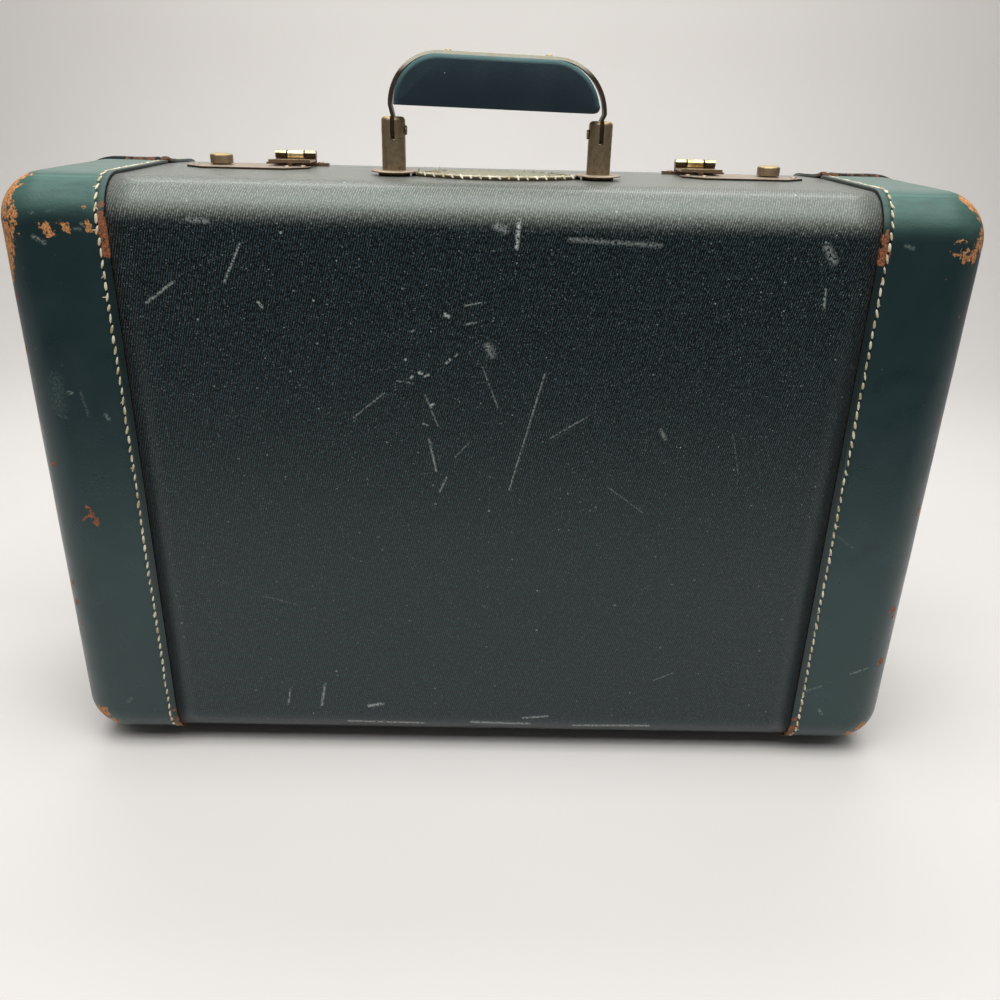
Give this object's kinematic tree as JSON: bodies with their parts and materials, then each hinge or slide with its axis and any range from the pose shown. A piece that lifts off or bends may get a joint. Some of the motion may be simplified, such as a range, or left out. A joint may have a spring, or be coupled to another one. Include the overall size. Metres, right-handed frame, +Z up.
{
  "type": "vintage suitcase",
  "caption": "Hard suitcase of plywood covered in dark green cloth with leather ends, with a hinged lid, a swinging grip handle and sliding hasp latches.",
  "frame": {"origin": "on the floor under the middle of the case, at the bottom centre of its box", "axes": "+X along the case's width, +Y from the face with the handle's half to the lid, +Z up from the hinge side to the handle"},
  "size_m": [0.533, 0.18, 0.4296],
  "materials": {
    "plywood": "bare plywood",
    "green_cloth": "dark green coated twill",
    "green_leather": "smooth dyed leather, worn at the edges",
    "lining_cloth": "plain tan lining cloth on paper",
    "aged_brass": "brown aged brass",
    "bright_brass": "worn bright brass",
    "lock_steel": "plain steel"
  },
  "bodies": {
    "case": {"body_shell": "plywood", "body_cloth": "green_cloth", "body_leather_left": "green_leather", "body_leather_right": "green_leather", "body_lining": "lining_cloth", "body_tongue": "plywood", "body_feet": "aged_brass", "handle_pad": "green_leather", "rosette_left": "aged_brass", "rosette_right": "aged_brass", "handle_post_left": "aged_brass", "handle_post_right": "aged_brass", "handle_washers": "lock_steel", "handle_pivot_pins": "aged_brass", "lock_plate_left": "aged_brass", "lock_plate_right": "aged_brass", "lock_plate_nails": "aged_brass", "lock_case_left": "lock_steel", "lock_case_right": "lock_steel", "lock_spring_left": "lock_steel", "lock_spring_right": "lock_steel", "body_hinge_leaf_left": "aged_brass", "body_hinge_leaf_right": "aged_brass", "body_hinge_nails": "aged_brass", "hinge_pins": "aged_brass"},
    "lid": {"lid_shell": "plywood", "lid_cloth": "green_cloth", "lid_leather_left": "green_leather", "lid_leather_right": "green_leather", "lid_lining": "lining_cloth", "lid_feet": "aged_brass", "lid_hinge_leaf_left": "aged_brass", "lid_hinge_leaf_right": "aged_brass", "lid_hinge_nails": "aged_brass", "hasp_plate_left": "bright_brass", "hasp_plate_right": "bright_brass", "hasp_plate_nails": "aged_brass", "hasp_pins": "aged_brass"},
    "handle": {"handle_band": "aged_brass", "handle_grip": "green_leather", "grip_rivets": "aged_brass"},
    "knob_left": {"slide_knob_left": "aged_brass", "lock_bolt_left": "lock_steel"},
    "knob_right": {"slide_knob_right": "aged_brass", "lock_bolt_right": "lock_steel"},
    "hasp_left": {"hasp_left": "bright_brass"},
    "hasp_right": {"hasp_right": "bright_brass"}
  },
  "joints": [
    {"name": "lid_hinge", "type": "hinge", "parent": "case", "child": "lid", "pos_m": [0, 0.02, 0.006], "axis": [-1, 0, 0], "range_deg": [0, 100]},
    {"name": "handle_swing", "type": "hinge", "parent": "case", "child": "handle", "pos_m": [0, -0.032, 0.3873], "axis": [1, 0, 0], "range_deg": [-90, 90]},
    {"name": "knob_left_slide", "type": "slide", "parent": "case", "child": "knob_left", "axis": [-1, 0, 0], "range_m": [0, 0.005], "stiffness_N_per_m": 400, "deforming": ["lock_spring_left"]},
    {"name": "hasp_left_swing", "type": "hinge", "parent": "lid", "child": "hasp_left", "pos_m": [-0.1245, 0.024, 0.3698], "axis": [-1, 0, 0], "range_deg": [0, 100]},
    {"name": "knob_right_slide", "type": "slide", "parent": "case", "child": "knob_right", "axis": [1, 0, 0], "range_m": [0, 0.005], "stiffness_N_per_m": 400, "deforming": ["lock_spring_right"]},
    {"name": "hasp_right_swing", "type": "hinge", "parent": "lid", "child": "hasp_right", "pos_m": [0.1245, 0.024, 0.3698], "axis": [-1, 0, 0], "range_deg": [0, 100]}
  ]
}
